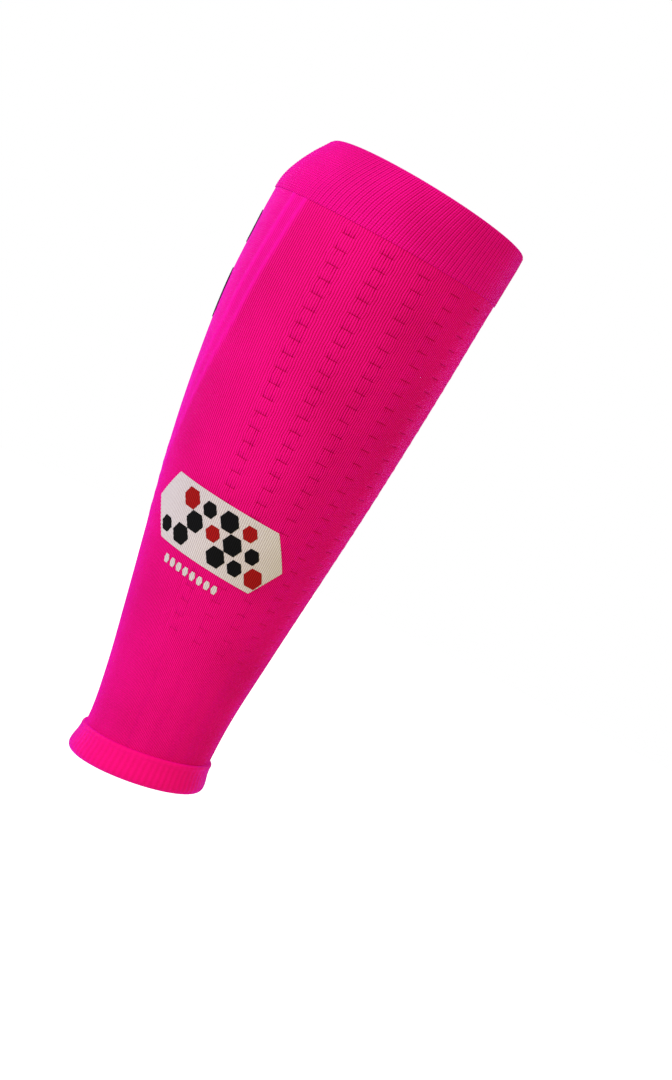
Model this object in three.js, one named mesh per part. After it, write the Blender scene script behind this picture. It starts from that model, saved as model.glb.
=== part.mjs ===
// A knitted calf compression sleeve in the form that it has when it is worn: a long fine-ribbed
// tube, a deep folded cuff below the knee and a narrow cuff over the ankle.
// Millimetres, +Z up the leg to the knee, the shin towards -Y and the calf towards +Y.
// The origin is on the leg's axis at the calf's fullest level, where the sleeve grips the leg.
// Heights below are counted from the ankle rim, on the leg's axis.

import * as THREE from "three";

// Overall form, over the outside of the tube
const SLEEVE_LENGTH = 320.5;
const SEAT_HEIGHT = 270;
const ANKLE_DEPTH = 68;
const ANKLE_WIDTH = 61;
const CALF_DEPTH = 122.5;
const CALF_WIDTH = 117;

// Slant of the rims and seams: how much higher the back stands than the shin, or the other way,
// and how much higher the top rim stands on the leg's outer side, -X, than on its inner side
const TOP_RIM_BACK_RISE = 9.5;
const TOP_RIM_SIDE_RISE = 5;
const TOP_SEAM_BACK_RISE = 8;
const ANKLE_RIM_SHIN_RISE = 9;

// The cloth
const TUBE_WALL = 1.2;
const TOP_WELT_HEIGHT = 28.5;
const TOP_WELT_WALL = 2.2;
const TOP_WELT_PROUD = 0.4;
const ANKLE_WELT_HEIGHT = 16;
const ANKLE_WELT_WALL = 2.6;
const ANKLE_WELT_PROUD = 1.7;
const ANKLE_RIM_FLARE = 1.2;
const SEAM_GAP = 0.3;

// How finely the round of the leg and the tube's length are divided
const COLUMNS_ROUND = 56;
const TUBE_ROWS = 24;

// The worn leg's sections from the ankle up
// rise: height as a share of the sleeve's length
// fill: 0 is the ankle's depth and width, 1 is the calf's
// lean: how far the section's middle lies towards the calf, as a share of the calf's depth
// keel: how much narrower the shin's side is than the calf's side
const LEG_SECTIONS = [
  { rise: -0.06, fill: 0.04, lean: -0.002, keel: 0.03 },
  { rise: 0.00, fill: 0.02, lean: -0.006, keel: 0.03 },
  { rise: 0.05, fill: 0.00, lean: -0.010, keel: 0.03 },
  { rise: 0.13, fill: 0.06, lean: -0.005, keel: 0.04 },
  { rise: 0.25, fill: 0.25, lean: -0.001, keel: 0.05 },
  { rise: 0.39, fill: 0.49, lean: 0.003, keel: 0.06 },
  { rise: 0.53, fill: 0.72, lean: 0.005, keel: 0.07 },
  { rise: 0.65, fill: 0.87, lean: 0.001, keel: 0.07 },
  { rise: 0.76, fill: 0.97, lean: -0.009, keel: 0.07 },
  { rise: 0.85, fill: 1.00, lean: -0.026, keel: 0.06 },
  { rise: 0.91, fill: 1.01, lean: -0.041, keel: 0.06 },
  { rise: 0.94, fill: 1.00, lean: -0.052, keel: 0.06 },
  { rise: 0.965, fill: 0.95, lean: -0.071, keel: 0.05 },
  { rise: 0.99, fill: 0.86, lean: -0.097, keel: 0.05 },
  { rise: 1.015, fill: 0.74, lean: -0.126, keel: 0.05 },
  { rise: 1.05, fill: 0.62, lean: -0.155, keel: 0.05 },
];

// The points that go once round each cuff's wall, from its cut edge at the skin side
// height: share of the cuff's height
// out: share of the wall, 0 is the skin side and 1 is the outer side
// flare: share of the ankle rim's flare
const TOP_WELT_LOOP = [
  { height: 0.00, out: 0.00, flare: 0 },
  { height: 0.00, out: 1.00, flare: 0 },
  { height: 0.25, out: 1.00, flare: 0 },
  { height: 0.50, out: 1.00, flare: 0 },
  { height: 0.75, out: 1.00, flare: 0 },
  { height: 0.95, out: 1.00, flare: 0 },
  { height: 0.99, out: 0.80, flare: 0 },
  { height: 1.00, out: 0.50, flare: 0 },
  { height: 0.99, out: 0.20, flare: 0 },
  { height: 0.95, out: 0.00, flare: 0 },
  { height: 0.75, out: 0.00, flare: 0 },
  { height: 0.50, out: 0.00, flare: 0 },
  { height: 0.25, out: 0.00, flare: 0 },
];
const ANKLE_WELT_LOOP = [
  { height: 0.00, out: 0.35, flare: 0.2 },
  { height: 0.03, out: 0.70, flare: 0.5 },
  { height: 0.10, out: 0.93, flare: 0.8 },
  { height: 0.22, out: 1.00, flare: 1.0 },
  { height: 0.38, out: 1.00, flare: 0.8 },
  { height: 0.60, out: 1.00, flare: 0.2 },
  { height: 0.90, out: 1.00, flare: 0 },
  { height: 0.97, out: 0.85, flare: 0 },
  { height: 1.00, out: 0.50, flare: 0 },
  { height: 1.00, out: 0.00, flare: 0 },
  { height: 0.60, out: 0.00, flare: 0.2 },
  { height: 0.38, out: 0.00, flare: 0.8 },
  { height: 0.22, out: 0.00, flare: 0.9 },
  { height: 0.05, out: 0.06, flare: 0.4 },
];

const columns = ["fill", "lean", "keel"];
const sections = new THREE.CubicInterpolant(
  LEG_SECTIONS.map((row) => row.rise),
  LEG_SECTIONS.flatMap((row) => columns.map((column) => row[column])),
  columns.length,
);

// A point on the worn leg's surface. The turn is 0 at the shin and goes round anticlockwise
// seen from the knee; outward moves the point off the surface, square to the section's outline.
function legPoint(height, turn, outward) {
  const [fill, lean, keel] = sections.evaluate(height / SLEEVE_LENGTH);
  const halfDepth = THREE.MathUtils.lerp(ANKLE_DEPTH, CALF_DEPTH, fill) / 2;
  const halfWidth = THREE.MathUtils.lerp(ANKLE_WIDTH, CALF_WIDTH, fill) / 2;
  const sine = Math.sin(turn);
  const cosine = Math.cos(turn);
  const alongX = halfWidth * (cosine * (1 - keel * cosine) + keel * sine * sine);
  const alongY = halfDepth * sine;
  const pace = Math.hypot(alongX, alongY);
  return new THREE.Vector3(
    halfWidth * sine * (1 - keel * cosine) + (outward * alongY) / pace,
    lean * CALF_DEPTH - halfDepth * cosine - (outward * alongX) / pace,
    height,
  );
}

// The slanted edges that the pieces end on, as heights round the leg
const backShare = (turn) => -Math.cos(turn) / 2;
const ankleRim = (turn) => -ANKLE_RIM_SHIN_RISE * backShare(turn);
const ankleSeam = (turn) => ankleRim(turn) + ANKLE_WELT_HEIGHT;
const sideShare = (turn) => -Math.sin(turn) / 2;
const topRim = (turn) =>
  SLEEVE_LENGTH + TOP_RIM_BACK_RISE * backShare(turn) + TOP_RIM_SIDE_RISE * sideShare(turn);
const topSeam = (turn) => SLEEVE_LENGTH - TOP_WELT_HEIGHT + TOP_SEAM_BACK_RISE * backShare(turn);

// A closed wall round the leg. The loop lists the points that go once round the wall's cut
// edge, each with its share of the height between the two edges and its distance outward.
function wallRoundLeg(loop, lowEdge, highEdge) {
  const positions = [];
  for (let column = 0; column < COLUMNS_ROUND; column++) {
    const turn = (column / COLUMNS_ROUND) * 2 * Math.PI;
    for (const point of loop) {
      const height = THREE.MathUtils.lerp(lowEdge(turn), highEdge(turn), point.height);
      positions.push(...legPoint(height, turn, point.outward));
    }
  }
  const triangles = [];
  for (let column = 0; column < COLUMNS_ROUND; column++) {
    const here = column * loop.length;
    const next = ((column + 1) % COLUMNS_ROUND) * loop.length;
    for (let step = 0; step < loop.length; step++) {
      const after = (step + 1) % loop.length;
      triangles.push(here + step, next + step, next + after);
      triangles.push(here + step, next + after, here + after);
    }
  }
  const geometry = new THREE.BufferGeometry();
  geometry.setAttribute("position", new THREE.Float32BufferAttribute(positions, 3));
  geometry.setIndex(triangles);
  geometry.computeVertexNormals();
  return geometry;
}

// The tube's wall: up its outer side and down its skin side
function tubeLoop() {
  const shares = Array.from({ length: TUBE_ROWS + 1 }, (_, row) => row / TUBE_ROWS);
  const outer = shares.map((height) => ({ height, outward: 0 }));
  const inner = shares.toReversed().map((height) => ({ height, outward: -TUBE_WALL }));
  return [...outer, ...inner];
}

// A cuff's wall, from its table, standing proud of the tube
function weltLoop(table, wall, proud, rimFlare) {
  return table.map(({ height, out, flare }) => ({
    height,
    outward: proud - wall * (1 - out) + rimFlare * flare,
  }));
}

function makePiece(name, geometry, colour, roughness) {
  const material = new THREE.MeshStandardMaterial({ color: colour, roughness, metalness: 0 });
  const piece = new THREE.Mesh(geometry, material);
  piece.name = name;
  return piece;
}

function makeLegTube() {
  const lowEdge = (turn) => ankleSeam(turn) + SEAM_GAP;
  const highEdge = (turn) => topSeam(turn) - SEAM_GAP;
  return makePiece("leg_tube", wallRoundLeg(tubeLoop(), lowEdge, highEdge), "#e81480", 0.8);
}

function makeTopWelt() {
  const loop = weltLoop(TOP_WELT_LOOP, TOP_WELT_WALL, TOP_WELT_PROUD, 0);
  return makePiece("top_welt", wallRoundLeg(loop, topSeam, topRim), "#ee0f90", 0.85);
}

function makeAnkleWelt() {
  const loop = weltLoop(ANKLE_WELT_LOOP, ANKLE_WELT_WALL, ANKLE_WELT_PROUD, ANKLE_RIM_FLARE);
  return makePiece("ankle_welt", wallRoundLeg(loop, ankleRim, ankleSeam), "#e1086c", 0.85);
}

const sleeve = new THREE.Group();
sleeve.name = "calf_sleeve";
sleeve.add(makeLegTube(), makeTopWelt(), makeAnkleWelt());
sleeve.position.z = -SEAT_HEIGHT;

export default sleeve;
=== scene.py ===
# Looks of a knitted calf compression sleeve, held up in the form that it has on a leg.
# Metres, +Z up the leg to the knee, the shin towards -Y and the calf towards +Y.
# A turn is 0 at the shin and goes round anticlockwise seen from the knee.
# Heights are counted from the ankle rim on the leg's axis, until a point is placed.

import math

import bpy
import numpy as np
from mathutils import Matrix, Vector


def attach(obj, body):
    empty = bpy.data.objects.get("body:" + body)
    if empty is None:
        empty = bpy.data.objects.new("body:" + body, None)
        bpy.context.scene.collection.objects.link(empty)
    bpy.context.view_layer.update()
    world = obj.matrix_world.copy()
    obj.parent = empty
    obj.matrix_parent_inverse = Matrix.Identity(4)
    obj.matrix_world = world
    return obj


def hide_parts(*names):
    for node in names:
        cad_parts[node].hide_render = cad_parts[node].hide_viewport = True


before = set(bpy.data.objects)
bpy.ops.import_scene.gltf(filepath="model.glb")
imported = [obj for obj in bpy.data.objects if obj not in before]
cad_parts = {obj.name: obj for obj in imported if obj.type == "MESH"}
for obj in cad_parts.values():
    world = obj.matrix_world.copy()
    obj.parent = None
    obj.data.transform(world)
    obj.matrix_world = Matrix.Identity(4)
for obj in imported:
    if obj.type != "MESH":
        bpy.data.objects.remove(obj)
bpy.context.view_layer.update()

# The CAD part's own sizes
SLEEVE_LENGTH = 0.3205
SEAT_HEIGHT = 0.270
ANKLE_DEPTH = 0.068
ANKLE_WIDTH = 0.061
CALF_DEPTH = 0.1225
CALF_WIDTH = 0.117
TOP_RIM_BACK_RISE = 0.0095
TOP_RIM_SIDE_RISE = 0.005
TOP_SEAM_BACK_RISE = 0.008
ANKLE_RIM_SHIN_RISE = 0.009
TUBE_WALL = 0.0012
TOP_WELT_HEIGHT = 0.0285
TOP_WELT_WALL = 0.0022
TOP_WELT_PROUD = 0.0004
ANKLE_WELT_HEIGHT = 0.016
ANKLE_WELT_WALL = 0.0026
ANKLE_WELT_PROUD = 0.0017
ANKLE_RIM_FLARE = 0.0012

# The worn leg's sections, as in the CAD part: rise, fill, lean and keel
LEG_SECTIONS = np.array([
    (-0.06, 0.04, -0.002, 0.03),
    (0.00, 0.02, -0.006, 0.03),
    (0.05, 0.00, -0.010, 0.03),
    (0.13, 0.06, -0.005, 0.04),
    (0.25, 0.25, -0.001, 0.05),
    (0.39, 0.49, 0.003, 0.06),
    (0.53, 0.72, 0.005, 0.07),
    (0.65, 0.87, 0.001, 0.07),
    (0.76, 0.97, -0.009, 0.07),
    (0.85, 1.00, -0.026, 0.06),
    (0.91, 1.01, -0.041, 0.06),
    (0.94, 1.00, -0.052, 0.06),
    (0.965, 0.95, -0.071, 0.05),
    (0.99, 0.86, -0.097, 0.05),
    (1.015, 0.74, -0.126, 0.05),
    (1.05, 0.62, -0.155, 0.05),
])

# The knit: upright ribs round the leg, each drawn with a groove and two shoulders
RIBS_ROUND = 288
COLUMNS_PER_RIB = 3
TUBE_COLUMNS = RIBS_ROUND * COLUMNS_PER_RIB
RIB_PROFILE = np.array([-0.62, 0.31, 0.31])
RIB_DEPTH_SHARE = 0.27
COURSE_PITCH = 0.0009
SEAM_SLIT = 0.00005

# The short dashes knitted into the shin's side, in upright columns, pressed in as creases that are darkened
# with painted shade
DASH_TURNS = [math.radians(18.75 * step) for step in range(-4, 5)]
DASH_RIBS = 5
DASH_ROWS = 28
DASH_PITCH = 0.0075
FIRST_DASH_DROP = 0.0065
DASH_DEPTH = 0.00040
DASH_ROW_OFFSETS = [-0.0014, -0.00035, 0.0, 0.00035, 0.0014]
TICK_SHARES = [0.4, 0.85, 1.0, 0.85, 0.4]
TICK_SEED = 7
PUFF_HEIGHT = 0.00036
RIB_BOW = 0.00030
BOW_REACH_RIBS = 7
DASH_SOFT_EDGE = 0.34
PUFF_MARGIN_RIBS = 1.6
FAR_RIBS = 99.0
LOW_FADE = 0.4
FADE_HEIGHT = 0.18
TOP_ROW_MARGIN = 0.0005
FINE_TURN = math.radians(81)
LOW_ROWS = 12

# The smoother strip up the back of the calf: height, and half its width as a turn
REAR_STRIP = np.array([
    (0.085, 0.0),
    (0.112, 28.0),
    (0.140, 44.0),
    (0.171, 56.0),
    (0.229, 71.0),
    (0.290, 78.0),
    (0.330, 82.0),
])

# The strip's soft border and the ridges along it, as turns in degrees, and how they look: the strip is
# lightened with painted sheen and the ridges with painted highlights
STRIP_SOFT_EDGE = 1.3
STRIP_RIB_LOSS = 0.3
STRIP_SHEEN_TINT = 0.6
RIDGE_HIGHLIGHT_TINT = 0.9
STRIP_RIDGES = (0.8, 9.5)
STRIP_RIDGE_WIDTH = 1.5
STRIP_RIDGE_HEIGHT = 0.00032

# The tube's plain skin side, coarser than its ribbed side
SKIN_COLUMN_STEP = 12
SKIN_ROWS = 16
SKIN_ROW_LENGTH = 0.02

SMOOTH_ANGLE = math.radians(75)

# The camera of the photograph
VIEW_DISTANCE = 0.700
VIEW_ELEVATION = math.radians(6)
VIEW_ROLL = math.radians(25.5)
VIEW_AIM_ASIDE = 0.0437
VIEW_AIM_HEIGHT = -0.119
SENSOR_LONG_SIDE = 36.0
LENS = SENSOR_LONG_SIDE * 1389 / 1080
ASIDE = Vector((0.5, -math.sqrt(0.75), 0.0))
FLOOR_DROP = 0.75
LIGHT_AIM = Vector((0, 0, -0.11))


def section_at(height):
    """Fill, lean and keel at each height, on the same smooth curve as the CAD part's."""
    rises = LEG_SECTIONS[:, 0]
    values = LEG_SECTIONS[:, 1:]
    secants = np.diff(values, axis=0) / np.diff(rises)[:, None]
    slopes = np.zeros_like(values)
    slopes[1:-1] = (secants[:-1] + secants[1:]) / 2
    rise = np.asarray(height, dtype=float) / SLEEVE_LENGTH
    row = np.clip(np.searchsorted(rises, rise, side="right") - 1, 0, len(rises) - 2)
    step = (rises[row + 1] - rises[row])[..., None]
    share = ((rise - rises[row]) / (rises[row + 1] - rises[row]))[..., None]
    square = share * share
    cube = square * share
    curve = (
        (2 * cube - 3 * square + 1) * values[row]
        + (cube - 2 * square + share) * step * slopes[row]
        + (3 * square - 2 * cube) * values[row + 1]
        + (cube - square) * step * slopes[row + 1]
    )
    return curve[..., 0], curve[..., 1], curve[..., 2]


def half_sizes(fill):
    half_depth = (ANKLE_DEPTH + (CALF_DEPTH - ANKLE_DEPTH) * fill) / 2
    half_width = (ANKLE_WIDTH + (CALF_WIDTH - ANKLE_WIDTH) * fill) / 2
    return half_depth, half_width


def mean_radius(height):
    half_depth, half_width = half_sizes(section_at(height)[0])
    return np.sqrt((half_depth**2 + half_width**2) / 2)


def leg_points(height, turn, outward):
    """Points on the worn leg's surface, moved off it by outward, in the part's frame."""
    fill, lean, keel = section_at(height)
    half_depth, half_width = half_sizes(fill)
    sine = np.sin(turn)
    cosine = np.cos(turn)
    along_x = half_width * (cosine * (1 - keel * cosine) + keel * sine * sine)
    along_y = half_depth * sine
    pace = np.hypot(along_x, along_y)
    x = half_width * sine * (1 - keel * cosine) + outward * along_y / pace
    y = lean * CALF_DEPTH - half_depth * cosine - outward * along_x / pace
    return np.stack([x, y, height - SEAT_HEIGHT + 0 * x], axis=-1)


def back_share(turn):
    return -np.cos(turn) / 2


def ankle_rim(turn):
    return -ANKLE_RIM_SHIN_RISE * back_share(turn)


def ankle_seam(turn):
    return ankle_rim(turn) + ANKLE_WELT_HEIGHT


def top_rim(turn):
    side_share = -np.sin(turn) / 2
    return SLEEVE_LENGTH + TOP_RIM_BACK_RISE * back_share(turn) + TOP_RIM_SIDE_RISE * side_share


def top_seam(turn):
    return SLEEVE_LENGTH - TOP_WELT_HEIGHT + TOP_SEAM_BACK_RISE * back_share(turn)


def into_rear_strip(height, turn):
    """How far inside the smoother strip on the calf's back a place lies, as a turn in degrees."""
    half_turn = np.interp(height, REAR_STRIP[:, 0], REAR_STRIP[:, 1])
    from_back = np.abs(np.mod(turn, 2 * np.pi) - np.pi)
    return half_turn - np.degrees(from_back)


def rear_strip_share(height, turn):
    """1 inside the strip, 0 outside it, with a soft border."""
    return np.clip(into_rear_strip(height, turn) / STRIP_SOFT_EDGE, 0, 1)


def strip_ridges(height, turn):
    """Two soft ridges beside each other along the strip's border."""
    inside = into_rear_strip(height, turn)
    return sum(np.exp(-((inside - place) / STRIP_RIDGE_WIDTH) ** 2) for place in STRIP_RIDGES)


def rib_depth(height, rear):
    rib_width = 2 * np.pi * mean_radius(height) / RIBS_ROUND
    return RIB_DEPTH_SHARE * rib_width * (1 - STRIP_RIB_LOSS * rear)


def make_piece(name, points, faces, loop_uvs, traits):
    """A mesh object from numpy arrays, with its UV map and its named point attributes."""
    mesh = bpy.data.meshes.new(name)
    mesh.from_pydata(points.tolist(), [], faces)
    uv_layer = mesh.uv_layers.new(name="ribs_and_courses")
    uv_layer.data.foreach_set("uv", np.asarray(loop_uvs, dtype=np.float32).ravel())
    for trait, values in traits.items():
        attribute = mesh.attributes.new(trait, "FLOAT", "POINT")
        attribute.data.foreach_set("value", np.asarray(values, dtype=np.float32))
    mesh.polygons.foreach_set("use_smooth", np.ones(len(mesh.polygons), dtype=bool))
    piece = bpy.data.objects.new(name, mesh)
    bpy.context.scene.collection.objects.link(piece)
    bpy.ops.object.select_all(action="DESELECT")
    piece.select_set(True)
    bpy.context.view_layer.objects.active = piece
    bpy.ops.object.shade_smooth_by_angle(angle=SMOOTH_ANGLE)
    piece.select_set(False)
    return piece


def round_faces(index, major_only, major_rows, columns_per_rib):
    """Faces of a wall that goes round the leg, and the rib and row of each of their corners.
    index holds each row's points, -1 where a column that keeps to the major rows has none."""
    faces = []
    corners = []
    columns = index.shape[1]
    for column in range(columns):
        after = (column + 1) % columns
        plain = major_only[column] or major_only[after]
        for low, high in zip(major_rows[:-1], major_rows[1:]):
            if not plain:
                for row in range(low, high):
                    faces.append([index[row, column], index[row, after],
                                  index[row + 1, after], index[row + 1, column]])
                    corners.append([(row, column), (row, column + 1),
                                    (row + 1, column + 1), (row + 1, column)])
                continue
            right = [row for row in range(low, high + 1) if index[row, after] >= 0]
            left = [row for row in range(high, low - 1, -1) if index[row, column] >= 0]
            faces.append([index[row, after] for row in right] + [index[row, column] for row in left])
            corners.append([(row, column + 1) for row in right] + [(row, column) for row in left])
    uvs = [(corner[1] / columns_per_rib, corner[0]) for face in corners for corner in face]
    return faces, uvs


def dash_ticks(rows):
    """Short upright ticks on each dash, up or down from it, in grooves drawn by a seeded chance. Like the
    dashes, they are pressed in and darkened with painted shade.
    """
    ticks = np.zeros((rows, TUBE_COLUMNS))
    chance = np.random.default_rng(TICK_SEED)
    cell = len(DASH_ROW_OFFSETS) + 1
    middle_step = len(TICK_SHARES) // 2
    for dash_turn in DASH_TURNS:
        middle = round(dash_turn / (2 * np.pi) * RIBS_ROUND)
        for row in range(DASH_ROWS):
            first = LOW_ROWS + 1 + row * cell
            ribs = (-2, chance.integers(-1, 2), 2)
            for rib, way in zip(ribs, chance.integers(0, 3, len(ribs))):
                column = (middle + rib) * COLUMNS_PER_RIB % TUBE_COLUMNS
                for step, share in enumerate(TICK_SHARES):
                    if (way == 0 and step < middle_step) or (way == 1 and step > middle_step):
                        continue
                    ticks[first + step, column] = share
    return ticks


def make_leg_tube():
    """The tube: ribs, dashes with puffed blocks between them, and a plain skin side."""
    turns = np.arange(TUBE_COLUMNS) / TUBE_COLUMNS * 2 * np.pi
    signed = (turns + np.pi) % (2 * np.pi) - np.pi
    coarse = np.abs(signed) > FINE_TURN
    low_edge = ankle_seam(turns) + SEAM_SLIT
    high_edge = top_seam(turns) - SEAM_SLIT
    centres = [top_seam(turns) - FIRST_DASH_DROP - DASH_PITCH * row for row in range(DASH_ROWS)]
    dash_low = centres[-1] - DASH_PITCH / 2
    heights = [low_edge + (dash_low - low_edge) * step / LOW_ROWS for step in range(LOW_ROWS + 1)]
    major_rows = list(range(LOW_ROWS + 1))
    crease = [0.0] * (LOW_ROWS + 1)
    swell = [0.0] * (LOW_ROWS + 1)
    for centre in reversed(centres):
        for offset in DASH_ROW_OFFSETS:
            heights.append(centre + offset)
            crease.append(1.0 if offset == 0 else 0.0)
            swell.append(math.sin(math.pi * abs(offset) / DASH_PITCH) ** 2)
        heights.append(np.minimum(centre + DASH_PITCH / 2, high_edge - TOP_ROW_MARGIN))
        crease.append(0.0)
        swell.append(1.0)
        major_rows.append(len(heights) - 1)
    heights.append(high_edge)
    crease.append(0.0)
    swell.append(0.0)
    major_rows.append(len(heights) - 1)
    swell[LOW_ROWS] = 1.0
    heights = np.array(heights)
    crease = np.array(crease)[:, None]
    swell = np.array(swell)[:, None]
    rows = len(heights)

    rib_turn = 2 * np.pi / RIBS_ROUND
    across = np.full(TUBE_COLUMNS, FAR_RIBS)
    for dash_turn in DASH_TURNS:
        offset = (signed - dash_turn) / rib_turn
        across = np.where(np.abs(offset) < np.abs(across), offset, across)
    in_dash = np.clip((DASH_RIBS / 2 + DASH_SOFT_EDGE - np.abs(across)) / DASH_SOFT_EDGE, 0, 1)
    in_puff = np.clip(1 - (np.abs(across) / (DASH_RIBS / 2 + PUFF_MARGIN_RIBS)) ** 4, 0, 1)
    phase = np.arange(TUBE_COLUMNS) % COLUMNS_PER_RIB
    # Each rib's groove column is marked here so that the material darkens it with painted shade.
    groove_and_shade = (phase == 0).astype(float)

    rear = rear_strip_share(heights, turns[None, :])
    ridges = strip_ridges(heights, turns[None, :])
    depth = rib_depth(heights, rear)
    wave = np.sin(np.pi * np.clip(across / BOW_REACH_RIBS, -1, 1))
    spread = np.where(np.abs(across) < BOW_REACH_RIBS, wave, 0)
    bow = RIB_BOW / mean_radius(heights) * spread * (swell - 0.5)
    fade = np.clip(LOW_FADE + (heights - dash_low) / FADE_HEIGHT, LOW_FADE, 1)
    # The dashes and their ticks are pressed in as creases, and the same value darkens them in the material
    # as painted shade; both fade lower down the leg.
    dash = np.maximum(crease * in_dash, dash_ticks(rows)) * fade
    outward = depth * RIB_PROFILE[phase] - DASH_DEPTH * dash + PUFF_HEIGHT * swell * in_puff * fade
    outward = outward + STRIP_RIDGE_HEIGHT * ridges
    points = leg_points(heights, turns + bow, outward)

    major = np.zeros(rows, dtype=bool)
    major[major_rows] = True
    kept = major[:, None] | ~coarse[None, :]
    index = np.full(kept.shape, -1)
    index[kept] = np.arange(kept.sum())
    faces, uvs = round_faces(index, coarse, major_rows, COLUMNS_PER_RIB)
    row_heights = heights.mean(axis=1) / COURSE_PITCH
    uvs = [(u, row_heights[int(row)]) for u, row in uvs]
    outer_points = points[kept]
    # The groove, dash and rear-strip values darken the grooves and the dash creases with painted shade, and
    # light the strip with painted sheen and its ridges with painted highlights.
    traits = {
        "groove_and_shade": np.broadcast_to(groove_and_shade, kept.shape)[kept],
        "dash": dash[kept],
        "rear_strip_sheen": (STRIP_SHEEN_TINT * rear + RIDGE_HIGHLIGHT_TINT * ridges)[kept],
    }

    skin_turns = turns[::SKIN_COLUMN_STEP]
    shares = np.linspace(0, 1, SKIN_ROWS)[:, None]
    skin_low = low_edge[::SKIN_COLUMN_STEP]
    skin_high = high_edge[::SKIN_COLUMN_STEP]
    skin_heights = skin_low + (skin_high - skin_low) * shares
    skin_points = leg_points(skin_heights, skin_turns, -TUBE_WALL)
    start = len(outer_points)
    skin_count = SKIN_ROWS * len(skin_turns)
    skin_index = start + np.arange(skin_count).reshape(-1, len(skin_turns))
    for column in range(len(skin_turns)):
        after = (column + 1) % len(skin_turns)
        for row in range(SKIN_ROWS - 1):
            faces.append([skin_index[row, column], skin_index[row + 1, column],
                          skin_index[row + 1, after], skin_index[row, after]])
            for place, level in [(column, row), (column, row + 1),
                                 (column + 1, row + 1), (column + 1, row)]:
                uvs.append((place * SKIN_COLUMN_STEP / COLUMNS_PER_RIB,
                            level * SKIN_ROW_LENGTH / COURSE_PITCH))
        span = [(column * SKIN_COLUMN_STEP + step) % TUBE_COLUMNS for step in range(SKIN_COLUMN_STEP + 1)]
        bottom = [index[0, place] for place in reversed(span)]
        faces.append(bottom + [skin_index[0, column], skin_index[0, after]])
        top = [index[-1, place] for place in span]
        faces.append(top + [skin_index[-1, after], skin_index[-1, column]])
        uvs += [(column * SKIN_COLUMN_STEP / COLUMNS_PER_RIB, 0.0)] * (2 * (SKIN_COLUMN_STEP + 3))
    points = np.concatenate([outer_points, skin_points.reshape(-1, 3)])
    traits = {name: np.concatenate([values, np.zeros(skin_count)]) for name, values in traits.items()}
    return make_piece("leg_tube_knit", points, faces, uvs, traits)


def make_cuff(name, columns, loop, low_edge, high_edge, slant, relief, traits):
    """A cuff's wall round the leg. The loop gives height shares and outward distances in one
    turn round the wall; relief adds the ribs to each, and slant leans the ribs sideways."""
    turns = np.arange(columns) / columns * 2 * np.pi
    share = np.array([point[0] for point in loop])[:, None]
    outward = np.array([point[1] for point in loop])[:, None]
    ribbed = np.array([point[2] for point in loop])[:, None]
    leaned = turns + slant(turns) * (share - 0.5)
    heights = low_edge(leaned) + (high_edge(leaned) - low_edge(leaned)) * share
    raised = relief(np.arange(columns)[None, :], share) * ribbed
    points = leg_points(heights, leaned, outward + raised)
    rows = len(loop)
    faces = []
    uvs = []
    courses = (high_edge(0) - low_edge(0)) / COURSE_PITCH
    for column in range(columns):
        after = (column + 1) % columns
        for row in range(rows):
            up = (row + 1) % rows
            faces.append([row * columns + column, row * columns + after,
                          up * columns + after, up * columns + column])
            for place, level in [(column, row), (column + 1, row), (column + 1, up), (column, up)]:
                uvs.append((place * RIBS_ROUND / columns, share[level, 0] * courses))
    values = {key: (value(np.arange(columns)[None, :], share) * np.abs(ribbed)).ravel()
              for key, value in traits.items()}
    return make_piece(name, points.reshape(-1, 3), faces, uvs, values)


# The cuff under the knee: ribs in pairs, one strong and one weak, that lean and are beaded

CUFF_COLUMNS = 864
CUFF_BEADS = 26
CUFF_RIB_PROFILE = np.array([-0.00030, 0.00014, 0.00018, -0.00014, 0.00005, 0.00002])
CUFF_BEAD = 0.00013
CUFF_LEAN = math.radians(6.2)
CUFF_UPRIGHT_TURN = math.radians(15)
CUFF_UPRIGHT_WIDTH = 0.8

# Where the cuff's outer side ends and its fold begins, and the fold's rise, as height shares
CUFF_FOLD_SHARE = 0.955
CUFF_FOLD_RISE = 0.045


def top_cuff_loop():
    outer = TOP_WELT_PROUD
    inner = TOP_WELT_PROUD - TOP_WELT_WALL
    middle = (outer + inner) / 2
    half = TOP_WELT_WALL / 2
    loop = [(CUFF_FOLD_SHARE * step / (2 * CUFF_BEADS), outer, 1.0) for step in range(2 * CUFF_BEADS + 1)]
    for step in range(1, 8):
        angle = math.pi * step / 8
        height = CUFF_FOLD_SHARE + CUFF_FOLD_RISE * math.sin(angle)
        loop.append((height, middle + half * math.cos(angle), 1 - step / 8))
    loop += [(CUFF_FOLD_SHARE * (1 - step / 5), inner, -0.5) for step in range(6)]
    return loop


def bead_wave(share):
    return np.cos(share / CUFF_FOLD_SHARE * CUFF_BEADS * 2 * np.pi)


def cuff_relief(column, share):
    beads = bead_wave(share)
    shoulder = np.isin(column % 6, [1, 2]) + 0.5 * np.isin(column % 6, [4, 5])
    return CUFF_RIB_PROFILE[column % 6] + CUFF_BEAD * beads * shoulder


def make_top_cuff():
    def slant(turn):
        aside = np.mod(turn - CUFF_UPRIGHT_TURN + np.pi, 2 * np.pi) - np.pi
        to_front = np.exp(-((aside / CUFF_UPRIGHT_WIDTH) ** 2))
        return CUFF_LEAN * (1 - to_front)

    # Painted shade: the cuff's grooves and the valleys between its beads are darkened in the material.
    traits = {
        "groove_and_shade": lambda column, share: (
            np.where(column % 6 == 0, 0.9, 0.55 * (column % 6 == 3)) + 0 * share
        ),
        "bead_valley_shade": lambda column, share: 0.5 - 0.5 * bead_wave(share) + 0 * column,
    }
    return make_cuff("top_cuff_knit", CUFF_COLUMNS, top_cuff_loop(), top_seam, top_rim, slant,
                     cuff_relief, traits)


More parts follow.
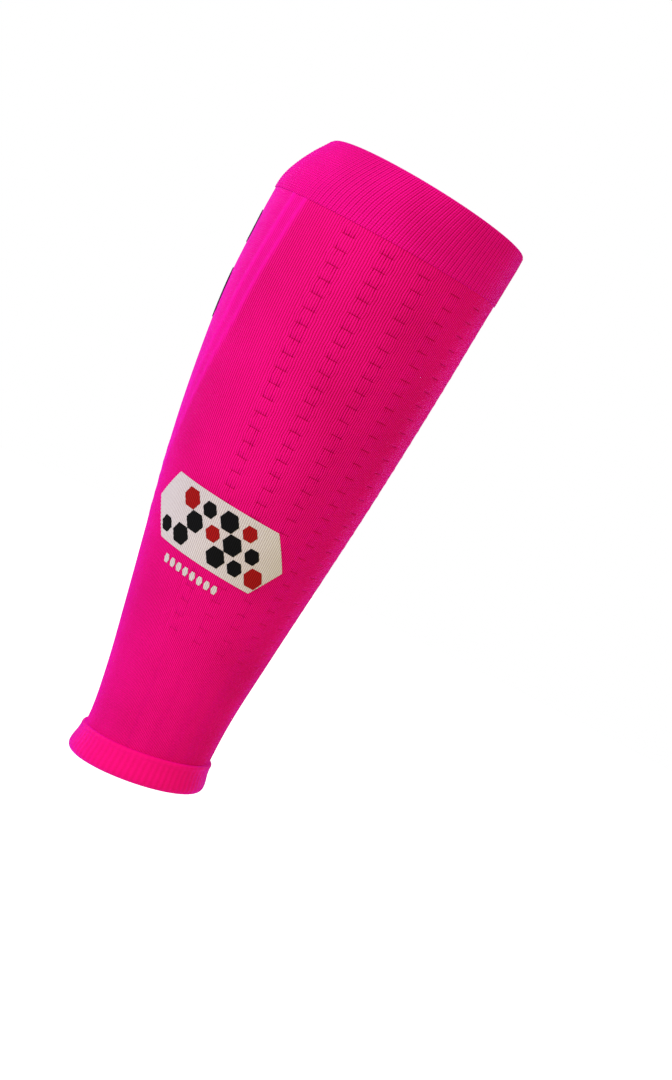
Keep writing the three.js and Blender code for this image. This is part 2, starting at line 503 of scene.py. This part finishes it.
# The cuff over the ankle: soft ribs, a small ledge at its upper edge and a rounded rim

ANKLE_RIBS = 72
ANKLE_COLUMNS_PER_RIB = 8
ANKLE_COLUMNS = ANKLE_RIBS * ANKLE_COLUMNS_PER_RIB
ANKLE_RIB_RELIEF = 0.00007

# The points once round the ankle cuff's wall: height share, share of the wall outward, share of
# the rim's flare, and share of the ribs' relief
ANKLE_PROFILE = [
    (0.00, 0.35, 0.2, 0.2),
    (0.01, 0.55, 0.35, 0.4),
    (0.03, 0.72, 0.5, 0.6),
    (0.06, 0.85, 0.65, 0.8),
    (0.10, 0.94, 0.8, 1.0),
    (0.16, 0.99, 0.93, 1.0),
    (0.22, 1.00, 1.0, 1.0),
    (0.30, 1.00, 0.93, 1.0),
    (0.38, 1.00, 0.8, 1.0),
    (0.49, 1.00, 0.48, 1.0),
    (0.60, 1.00, 0.2, 1.0),
    (0.70, 1.00, 0.07, 1.0),
    (0.80, 1.00, 0.0, 0.9),
    (0.84, 0.95, 0.0, 0.3),
    (0.87, 1.02, 0.0, 0.5),
    (0.91, 1.04, 0.0, 0.6),
    (0.955, 0.96, 0.0, 0.5),
    (0.985, 0.75, 0.0, 0.3),
    (1.00, 0.45, 0.0, 0.0),
    (1.00, 0.00, 0.0, 0.0),
    (0.60, 0.00, 0.2, 0.0),
    (0.38, 0.00, 0.8, 0.0),
    (0.22, 0.00, 0.9, 0.0),
    (0.10, 0.02, 0.6, 0.0),
    (0.05, 0.06, 0.4, 0.0),
    (0.02, 0.16, 0.3, 0.0),
]


def make_ankle_cuff():
    loop = [(height, ANKLE_WELT_PROUD - ANKLE_WELT_WALL * (1 - out) + ANKLE_RIM_FLARE * flare, ribbed)
            for height, out, flare, ribbed in ANKLE_PROFILE]

    def rib_wave(column):
        return np.cos(column * 2 * np.pi / ANKLE_COLUMNS_PER_RIB)

    def relief(column, share):
        return ANKLE_RIB_RELIEF * (rib_wave(column) - 0.3) + 0 * share

    # Painted shade: the ankle cuff's rib valleys are darkened in the material.
    traits = {"groove_and_shade": lambda column, share: 0.18 - 0.18 * rib_wave(column) + 0 * share}
    return make_cuff("ankle_cuff_knit", ANKLE_COLUMNS, loop, ankle_rim, ankle_seam,
                     lambda turn: 0 * turn, relief, traits)


# The thin printed films: flat six-sided cells pressed onto the ribs

FILM_THICKNESS = 0.00038
FILM_LIFT = -0.00002
UPPER_FILM_LIFT = 0.00010
FILM_ROW_STEP = 0.0012
FILM_CREST = 0.31
FILM_GROOVE = 0.93
FILM_RELIEF_SHARE = 0.75


class FilmSheet:
    """Gathers the patches of one colour into one mesh."""

    def __init__(self, name, lift):
        self.name = name
        self.lift = lift
        self.points = []
        self.faces = []
        self.uvs = []
        self.groove_and_shade = []

    def add_cell(self, turn, height, half_width, half_height, shoulder, tilt=0.0, blunt=0.02):
        """A six-sided cell. shoulder is the half width of its flat top and bottom edges, and
        half_width that of its waist; tilt is how far its right end rises for each metre, and
        blunt the share of its height that is left at its two ends."""
        radius = float(mean_radius(height))
        rib_width = 2 * math.pi * radius / RIBS_ROUND
        step = rib_width / COLUMNS_PER_RIB
        first = math.ceil((turn * radius - half_width) / step + 0.25)
        last = math.floor((turn * radius + half_width) / step - 0.25)
        places = [turn * radius - half_width] + [step * place for place in range(first, last + 1)]
        places.append(turn * radius + half_width)
        for corner in (turn * radius - shoulder, turn * radius + shoulder):
            if min(abs(place - corner) for place in places) > 0.2 * step:
                places.append(corner)
        places = np.array(sorted(places))
        aside = np.abs(places - turn * radius)
        slope = np.clip((half_width - aside) / (half_width - shoulder), 0, 1)
        reach = half_height * (blunt + (1 - blunt) * slope)
        rows = max(2, int(round(half_height / FILM_ROW_STEP)))
        share = np.linspace(-1, 1, 2 * rows + 1)[:, None]
        heights = height + (places - turn * radius) * tilt + reach * share
        phase = np.mod(places / step, COLUMNS_PER_RIB)
        # How far each column lies in a rib's groove: it lowers the film there and darkens it with painted
        # shade.
        groove_and_shade = np.clip(1 - np.minimum(phase, COLUMNS_PER_RIB - phase), 0, 1)
        ribbed = rib_depth(heights, 0) * (FILM_CREST - FILM_GROOVE * groove_and_shade) * FILM_RELIEF_SHARE
        relief = ribbed + self.lift
        turns = np.broadcast_to(places / radius, heights.shape)
        top = leg_points(heights, turns, relief + FILM_THICKNESS)
        under = leg_points(heights, turns, relief)
        self.add_slab(top, under, places / step / COLUMNS_PER_RIB, heights, groove_and_shade)

    def add_slab(self, top, under, across, heights, groove_and_shade):
        rows, columns = heights.shape
        start = sum(len(block) for block in self.points)
        size = rows * columns
        self.points += [top.reshape(-1, 3), under.reshape(-1, 3)]
        self.groove_and_shade += [np.tile(groove_and_shade, rows), np.tile(groove_and_shade, rows)]

        def corner(row, column, low):
            return start + row * columns + column + (size if low else 0)

        def uv(row, column):
            return (across[column], heights[row, column] / COURSE_PITCH)

        for row in range(rows - 1):
            for column in range(columns - 1):
                ring = [(row, column), (row, column + 1), (row + 1, column + 1), (row + 1, column)]
                self.faces.append([corner(*place, False) for place in ring])
                self.faces.append([corner(*place, True) for place in reversed(ring)])
                self.uvs += [uv(*place) for place in ring] + [uv(*place) for place in reversed(ring)]
        border = [(0, column) for column in range(columns)]
        border += [(row, columns - 1) for row in range(1, rows)]
        border += [(rows - 1, column) for column in range(columns - 2, -1, -1)]
        border += [(row, 0) for row in range(rows - 2, 0, -1)]
        for here, after in zip(border, border[1:] + border[:1]):
            self.faces.append([corner(*after, False), corner(*here, False),
                               corner(*here, True), corner(*after, True)])
            self.uvs += [uv(*after), uv(*here), uv(*here), uv(*after)]

    def make(self):
        return make_piece(self.name, np.concatenate(self.points), self.faces, self.uvs,
                          {"groove_and_shade": np.concatenate(self.groove_and_shade)})


SIDE_PANEL_TURN = math.radians(-74)
SIDE_PANEL_HEIGHT = 0.133
SIDE_PANEL_TILT = -0.10
SIDE_PANEL_HALF_WIDTH = 0.0385
SIDE_PANEL_HALF_HEIGHT = 0.0165
SIDE_PANEL_SHOULDER = 0.0275
CELL_PITCH = 0.0105
CELL_ROW_PITCH = 0.0092
CELL_HALF_WIDTH = 0.0050
CELL_HALF_HEIGHT = 0.0046
CELL_SHOULDER = 0.0026
CELL_REACH = 0.0295
SMALL_CELL_SCALE = 0.78
TRAIL_CELLS = 8
TRAIL_START = -0.019
TRAIL_PITCH = 0.0043
TRAIL_ABOVE = -0.0235
TRAIL_HALF_WIDTH = 0.0015
TRAIL_HALF_HEIGHT = 0.0021
TRAIL_SHOULDER = 0.0008


def side_place(aside, above):
    """The turn and height of a place on the side panel, from its middle."""
    radius = float(mean_radius(SIDE_PANEL_HEIGHT))
    height = SIDE_PANEL_HEIGHT + above + aside * SIDE_PANEL_TILT
    return SIDE_PANEL_TURN + aside / radius, height


def make_side_films():
    panel = FilmSheet("side_panel_film", FILM_LIFT)
    panel.add_cell(SIDE_PANEL_TURN, SIDE_PANEL_HEIGHT, SIDE_PANEL_HALF_WIDTH,
                   SIDE_PANEL_HALF_HEIGHT, SIDE_PANEL_SHOULDER, SIDE_PANEL_TILT)
    dark = FilmSheet("side_panel_dark_cells", UPPER_FILM_LIFT)
    red = FilmSheet("side_panel_red_cells", UPPER_FILM_LIFT)
    for row in range(-1, 2):
        for step in range(-3, 4):
            aside = (step + 0.5 * (row % 2)) * CELL_PITCH
            if abs(aside) > CELL_REACH or (row + step) % 5 == 3:
                continue
            turn, height = side_place(aside, row * CELL_ROW_PITCH)
            cells = red if (step + 2 * row) % 3 == 0 else dark
            scale = 1.0 if (step + row) % 2 else SMALL_CELL_SCALE
            cells.add_cell(turn, height, CELL_HALF_WIDTH * scale, CELL_HALF_HEIGHT * scale,
                           CELL_SHOULDER * scale, SIDE_PANEL_TILT)
    trail = FilmSheet("side_trail_film", FILM_LIFT)
    for step in range(TRAIL_CELLS):
        turn, height = side_place(TRAIL_START + TRAIL_PITCH * step, TRAIL_ABOVE)
        trail.add_cell(turn, height, TRAIL_HALF_WIDTH, TRAIL_HALF_HEIGHT, TRAIL_SHOULDER,
                       SIDE_PANEL_TILT)
    return panel, dark, red, trail


# The dark cells on the calf's back: two broad ones with their heights and half heights, and
# rows of small ones under them, each row with one cell fewer
REAR_BARS = [(0.2740, 0.0085), (0.2385, 0.0130)]
REAR_BAR_HALF_WIDTH = 0.0440
REAR_CELL_ROWS = 4
REAR_CELL_TOP = 0.2145
REAR_CELL_PITCH = 0.0135
REAR_CELL_ROW_SHARE = 0.87
REAR_CELL_HALF_WIDTH = 0.0060
REAR_CELL_HALF_HEIGHT = 0.0052
REAR_CELL_SHOULDER = 0.0031
REAR_BAR_CORNER_SHARE = 0.4
REAR_BAR_BLUNT = 0.7


def make_rear_films():
    cells = FilmSheet("calf_dark_cells", FILM_LIFT)
    for height, half_height in REAR_BARS:
        cells.add_cell(math.pi, height, REAR_BAR_HALF_WIDTH, half_height,
                       REAR_BAR_HALF_WIDTH - half_height * REAR_BAR_CORNER_SHARE,
                       blunt=REAR_BAR_BLUNT)
    for row in range(REAR_CELL_ROWS):
        height = REAR_CELL_TOP - row * REAR_CELL_PITCH * REAR_CELL_ROW_SHARE
        count = REAR_CELL_ROWS - row
        for step in range(count):
            aside = (step - (count - 1) / 2) * REAR_CELL_PITCH
            cells.add_cell(math.pi + aside / float(mean_radius(height)), height,
                           REAR_CELL_HALF_WIDTH, REAR_CELL_HALF_HEIGHT, REAR_CELL_SHOULDER)
    return cells


# Materials


def add_group(name, inputs, outputs):
    """An empty node group with its sockets: name, kind and starting value of each."""
    tree = bpy.data.node_groups.new(name, "ShaderNodeTree")
    for label, kind, value in inputs:
        socket = tree.interface.new_socket(label, in_out="INPUT", socket_type=kind)
        if value is not None:
            socket.default_value = value
    for label, kind in outputs:
        tree.interface.new_socket(label, in_out="OUTPUT", socket_type=kind)
    return tree, tree.nodes.new("NodeGroupInput"), tree.nodes.new("NodeGroupOutput")


def join(tree, source, target):
    """Links a socket, or sets a plain value, on a target socket."""
    if isinstance(source, bpy.types.NodeSocket):
        tree.links.new(source, target)
    else:
        target.default_value = source


def maths(tree, operation, *values):
    node = tree.nodes.new("ShaderNodeMath")
    node.operation = operation
    for socket, value in zip(node.inputs, values):
        join(tree, value, socket)
    return node.outputs[0]


def noise(tree, vector, scale, detail, roughness=0.5):
    node = tree.nodes.new("ShaderNodeTexNoise")
    node.inputs["Scale"].default_value = scale
    node.inputs["Detail"].default_value = detail
    node.inputs["Roughness"].default_value = roughness
    tree.links.new(vector, node.inputs["Vector"])
    return node.outputs["Fac"]


def mix_colour(tree, share, first, second):
    node = tree.nodes.new("ShaderNodeMix")
    node.data_type = "RGBA"
    join(tree, share, node.inputs[0])
    join(tree, first, node.inputs[6])
    join(tree, second, node.inputs[7])
    return node.outputs[2]


def remap(tree, value, low, high, to_low, to_high):
    node = tree.nodes.new("ShaderNodeMapRange")
    tree.links.new(value, node.inputs["Value"])
    for label, number in [("From Min", low), ("From Max", high), ("To Min", to_low), ("To Max", to_high)]:
        node.inputs[label].default_value = number
    return node.outputs["Result"]


def make_loops_group():
    """Knit loops: in each rib, two strands that meet in a V, once for each course. Its height bumps the
    surface, and its gap is painted shade between the strands.
    """
    tree, enter, leave = add_group(
        "knit_loops",
        [("UV", "NodeSocketVector", None), ("Slope", "NodeSocketFloat", 0.9)],
        [("Height", "NodeSocketFloat"), ("Gap_shade", "NodeSocketFloat")],
    )
    parts = tree.nodes.new("ShaderNodeSeparateXYZ")
    tree.links.new(enter.outputs["UV"], parts.inputs[0])
    across = maths(tree, "SUBTRACT", maths(tree, "FRACT", parts.outputs["X"]), 0.5)
    aside = maths(tree, "ABSOLUTE", across)
    along = maths(tree, "ADD", parts.outputs["Y"], maths(tree, "MULTIPLY", aside, enter.outputs["Slope"]))
    course = maths(tree, "SUBTRACT", maths(tree, "MULTIPLY", maths(tree, "FRACT", along), 2.0), 1.0)
    round_course = maths(tree, "SUBTRACT", 1.0, maths(tree, "POWER", maths(tree, "ABSOLUTE", course), 2.5))
    strand = maths(tree, "SUBTRACT", maths(tree, "MULTIPLY", aside, 4.0), 1.0)
    round_strand = maths(tree, "SUBTRACT", 1.0, maths(tree, "POWER", maths(tree, "ABSOLUTE", strand), 2.0))
    lifted = maths(tree, "ADD", maths(tree, "MULTIPLY", round_strand, 0.6), 0.4)
    height = maths(tree, "MULTIPLY", round_course, lifted)
    tree.links.new(height, leave.inputs["Height"])
    tree.links.new(maths(tree, "SUBTRACT", 1.0, height), leave.inputs["Gap_shade"])
    return tree


def make_yarn_group():
    """Yarn colour: uneven stretch and dye over the leg, flecks of lighter fibre, and painted shade in the
    grooves that the mesh marks.
    """
    tree, enter, leave = add_group(
        "yarn_colour",
        [("Position", "NodeSocketVector", None), ("Light yarn", "NodeSocketColor", None),
         ("Deep yarn", "NodeSocketColor", None), ("Groove", "NodeSocketFloat", 0.0)],
        [("Colour", "NodeSocketColor"), ("Fuzz", "NodeSocketFloat")],
    )
    patches = remap(tree, noise(tree, enter.outputs["Position"], 22.0, 2.0), 0.35, 0.65, 0.0, 0.22)
    flecks = remap(tree, noise(tree, enter.outputs["Position"], 900.0, 2.0, 0.6), 0.45, 0.75, 0.0, 0.3)
    # The groove share is painted shade; the random dye patches add to it, and both pull the colour towards
    # the deep yarn.
    depth = maths(tree, "ADD", maths(tree, "MULTIPLY", enter.outputs["Groove"], 1.0), patches)
    shade = maths(tree, "SUBTRACT", depth, maths(tree, "MULTIPLY", flecks, 0.35))
    limit = maths(tree, "MINIMUM", maths(tree, "MAXIMUM", shade, 0.0), 1.0)
    colour = mix_colour(tree, limit, enter.outputs["Light yarn"], enter.outputs["Deep yarn"])
    tree.links.new(colour, leave.inputs["Colour"])
    tree.links.new(flecks, leave.inputs["Fuzz"])
    return tree


def point_trait(tree, name):
    node = tree.nodes.new("ShaderNodeAttribute")
    node.attribute_name = name
    return node.outputs["Fac"]


def start_material(name, roughness, sheen, sheen_tint):
    material = bpy.data.materials.new(name)
    material.use_nodes = True
    tree = material.node_tree
    shader = tree.nodes["Principled BSDF"]
    shader.inputs["Roughness"].default_value = roughness
    shader.inputs["Sheen Weight"].default_value = sheen
    shader.inputs["Sheen Roughness"].default_value = 0.4
    shader.inputs["Sheen Tint"].default_value = sheen_tint
    shader.inputs["Specular IOR Level"].default_value = 0.05
    return material, tree, shader


def place_group(tree, group, **values):
    node = tree.nodes.new("ShaderNodeGroup")
    node.node_tree = group
    for label, value in values.items():
        join(tree, value, node.inputs[label.replace("_", " ")])
    return node


def add_bump(tree, shader, height, strength, distance):
    bump = tree.nodes.new("ShaderNodeBump")
    bump.inputs["Strength"].default_value = strength
    bump.inputs["Distance"].default_value = distance
    tree.links.new(height, bump.inputs["Height"])
    tree.links.new(bump.outputs["Normal"], shader.inputs["Normal"])


# Yarn colours. The deeper pink is painted shade in the grooves, between the knit loops and between the
# cuff's beads, and also the darker side of the random dye patches; the strip pink is painted sheen, and the
# dash pink painted shade in the dash creases.
PINK_LIGHT = (0.93, 0.0022, 0.225, 1.0)
PINK_SHADE_AND_DYE = (0.44, 0.0005, 0.045, 1.0)
PINK_STRIP_SHEEN = (0.90, 0.0030, 0.330, 1.0)
PINK_DASH_SHADE = (0.50, 0.0008, 0.052, 1.0)
PINK_SHEEN = (0.7, 0.0, 1.0, 1.0)


def make_knit_material(name, groups, light, shade_and_tone, loop_strength, extra):
    material, tree, shader = start_material(name, 0.72, 0.9, PINK_SHEEN)
    coordinates = tree.nodes.new("ShaderNodeTexCoord")
    loops = place_group(tree, groups["loops"], UV=coordinates.outputs["UV"])
    # The deep colour is painted shade in the grooves and between the knit loops, mixed with random dye
    # patches.
    yarn = place_group(tree, groups["yarn"], Position=coordinates.outputs["Object"], Light_yarn=light,
                       Deep_yarn=shade_and_tone, Groove=point_trait(tree, "groove_and_shade"))
    # Painted shade between the knit loops' strands.
    loop_gap_shade = maths(tree, "MULTIPLY", loops.outputs["Gap_shade"], 0.25)
    colour = mix_colour(tree, loop_gap_shade, yarn.outputs["Colour"], shade_and_tone)
    colour = extra(tree, colour)
    tree.links.new(colour, shader.inputs["Base Color"])
    tree.links.new(remap(tree, yarn.outputs["Fuzz"], 0.0, 0.3, 0.68, 0.80), shader.inputs["Roughness"])
    height = maths(tree, "ADD", loops.outputs["Height"], maths(tree, "MULTIPLY", yarn.outputs["Fuzz"], 0.8))
    add_bump(tree, shader, height, loop_strength, 0.00012)
    return material


def tube_extra(tree, colour):
    # Painted sheen on the calf's rear strip and painted highlights on its ridges.
    strip_sheen = maths(tree, "MULTIPLY", point_trait(tree, "rear_strip_sheen"), 0.5)
    colour = mix_colour(tree, strip_sheen, colour, PINK_STRIP_SHEEN)
    # Painted shade in the dash creases.
    return mix_colour(tree, point_trait(tree, "dash"), colour, PINK_DASH_SHADE)


def cuff_extra(tree, colour):
    # Painted shade in the valleys between the cuff's beads.
    return mix_colour(tree, maths(tree, "MULTIPLY", point_trait(tree, "bead_valley_shade"), 0.34), colour, PINK_SHADE_AND_DYE)


def plain_extra(tree, colour):
    return colour


def make_film_material(name, groups, light, shade_and_tone, roughness):
    material, tree, shader = start_material(name, roughness, 0.0, (1.0, 1.0, 1.0, 1.0))
    coordinates = tree.nodes.new("ShaderNodeTexCoord")
    # The deep colour is painted shade where the film dips into a rib groove, mixed with random wear.
    yarn = place_group(tree, groups["yarn"], Position=coordinates.outputs["Object"], Light_yarn=light,
                       Deep_yarn=shade_and_tone, Groove=point_trait(tree, "groove_and_shade"))
    tree.links.new(yarn.outputs["Colour"], shader.inputs["Base Color"])
    worn = remap(tree, yarn.outputs["Fuzz"], 0.0, 0.3, roughness - 0.06, roughness + 0.1)
    tree.links.new(worn, shader.inputs["Roughness"])
    add_bump(tree, shader, yarn.outputs["Fuzz"], 0.3, 0.00008)
    return material


# Camera, lights, floor and background


def place_camera():
    back = Vector((-math.sqrt(0.75) * math.cos(VIEW_ELEVATION), -0.5 * math.cos(VIEW_ELEVATION),
                   math.sin(VIEW_ELEVATION)))
    upright = ASIDE.cross(-back)
    right = math.cos(VIEW_ROLL) * ASIDE + math.sin(VIEW_ROLL) * upright
    up = -math.sin(VIEW_ROLL) * ASIDE + math.cos(VIEW_ROLL) * upright
    aim = ASIDE * VIEW_AIM_ASIDE + Vector((0, 0, VIEW_AIM_HEIGHT))
    data = bpy.data.cameras.new("photo_camera")
    data.sensor_fit = "VERTICAL"
    data.sensor_height = SENSOR_LONG_SIDE
    data.lens = LENS
    camera = bpy.data.objects.new("photo_camera", data)
    turned = Matrix((right, up, back)).transposed().to_4x4()
    camera.matrix_world = Matrix.Translation(aim + back * VIEW_DISTANCE) @ turned
    bpy.context.scene.collection.objects.link(camera)
    bpy.context.scene.camera = camera
    return back


def add_softbox(name, direction, distance, size, energy, colour):
    data = bpy.data.lights.new(name, "AREA")
    data.shape = "DISK"
    data.size = size
    data.energy = energy
    data.color = colour
    lamp = bpy.data.objects.new(name, data)
    lamp.location = LIGHT_AIM + direction.normalized() * distance
    lamp.rotation_euler = direction.to_track_quat("Z", "Y").to_euler()
    bpy.context.scene.collection.objects.link(lamp)


def light_scene(back):
    overhead = Vector((0, 0, 1))
    add_softbox("key_softbox", back * 0.8 - ASIDE * 0.9 + overhead * 0.6,
                1.6, 1.1, 20.0, (0.90, 0.90, 1.25))
    add_softbox("fill_softbox", back * 0.9 + ASIDE * 0.9 + overhead * 0.2,
                1.8, 1.2, 7.5, (1.0, 0.90, 0.25))
    add_softbox("left_rim_softbox", -back * 0.9 - ASIDE * 1.0 + overhead * 0.3,
                1.7, 1.0, 9.0, (0.85, 0.9, 1.45))
    add_softbox("right_rim_softbox", -back * 1.3 + ASIDE * 0.9 + overhead * 0.1,
                1.7, 0.8, 8.0, (0.85, 0.9, 1.45))
    world = bpy.data.worlds.new("pale_room")
    bpy.context.scene.world = world
    world.use_nodes = True
    tree = world.node_tree
    room = tree.nodes["Background"]
    room.inputs["Color"].default_value = (1.0, 0.95, 0.80, 1.0)
    room.inputs["Strength"].default_value = 0.50
    seen = tree.nodes.new("ShaderNodeBackground")
    seen.inputs["Color"].default_value = (1.0, 1.0, 1.0, 1.0)
    seen.inputs["Strength"].default_value = 1.0
    path = tree.nodes.new("ShaderNodeLightPath")
    mixed = tree.nodes.new("ShaderNodeMixShader")
    tree.links.new(path.outputs["Is Camera Ray"], mixed.inputs[0])
    tree.links.new(room.outputs[0], mixed.inputs[1])
    tree.links.new(seen.outputs[0], mixed.inputs[2])
    tree.links.new(mixed.outputs[0], tree.nodes["World Output"].inputs["Surface"])
    bpy.context.scene.view_settings.view_transform = "Standard"
    bpy.context.scene.view_settings.look = "None"


def make_floor():
    bpy.ops.object.select_all(action="DESELECT")
    bpy.ops.mesh.primitive_circle_add(vertices=64, radius=6.0, fill_type="NGON",
                                      location=(0, 0, -SEAT_HEIGHT - FLOOR_DROP))
    floor = bpy.context.active_object
    floor.name = "pale_floor"
    material = bpy.data.materials.new("pale_floor")
    material.use_nodes = True
    shader = material.node_tree.nodes["Principled BSDF"]
    shader.inputs["Base Color"].default_value = (0.9, 0.9, 0.9, 1.0)
    shader.inputs["Roughness"].default_value = 0.9
    shader.inputs["Emission Color"].default_value = (1.0, 1.0, 1.0, 1.0)
    path = material.node_tree.nodes.new("ShaderNodeLightPath")
    glow = maths(material.node_tree, "MULTIPLY_ADD", path.outputs["Is Camera Ray"], 0.7, 0.15)
    material.node_tree.links.new(glow, shader.inputs["Emission Strength"])
    floor.data.materials.append(material)


# Putting it together

photo_back = place_camera()
light_scene(photo_back)
make_floor()

groups = {"loops": make_loops_group(), "yarn": make_yarn_group()}
tube_knit = make_knit_material("ribbed_tube_knit", groups, PINK_LIGHT, PINK_SHADE_AND_DYE, 0.5, tube_extra)
cuff_knit = make_knit_material("beaded_cuff_knit", groups, (1.0, 0.0022, 0.300, 1.0), PINK_SHADE_AND_DYE, 0.5,
                               cuff_extra)
ankle_knit = make_knit_material("ankle_cuff_knit", groups, (0.93, 0.0025, 0.190, 1.0),
                                (0.70, 0.0015, 0.100, 1.0), 0.6, plain_extra)
off_white_film = make_film_material("off_white_film", groups, (0.68, 0.63, 0.56, 1.0),
                                    (0.45, 0.36, 0.34, 1.0), 0.5)
black_film = make_film_material("black_film", groups, (0.006, 0.006, 0.006, 1.0),
                                (0.002, 0.002, 0.002, 1.0), 0.60)
red_film = make_film_material("dark_red_film", groups, (0.40, 0.008, 0.008, 1.0),
                              (0.18, 0.003, 0.003, 1.0), 0.45)

leg_tube = make_leg_tube()
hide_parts("leg_tube")

top_cuff = make_top_cuff()
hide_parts("top_welt")

ankle_cuff = make_ankle_cuff()
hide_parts("ankle_welt")

panel, dark_cells, red_cells, trail = make_side_films()
film_sheets = [(panel, off_white_film), (dark_cells, black_film), (red_cells, red_film),
               (trail, off_white_film), (make_rear_films(), black_film)]
films = []
for film_sheet, material in film_sheets:
    film = film_sheet.make()
    film.data.materials.append(material)
    films.append(film)

leg_tube.data.materials.append(tube_knit)
top_cuff.data.materials.append(cuff_knit)
ankle_cuff.data.materials.append(ankle_knit)
for piece in [leg_tube, top_cuff, ankle_cuff, *films]:
    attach(piece, "root")
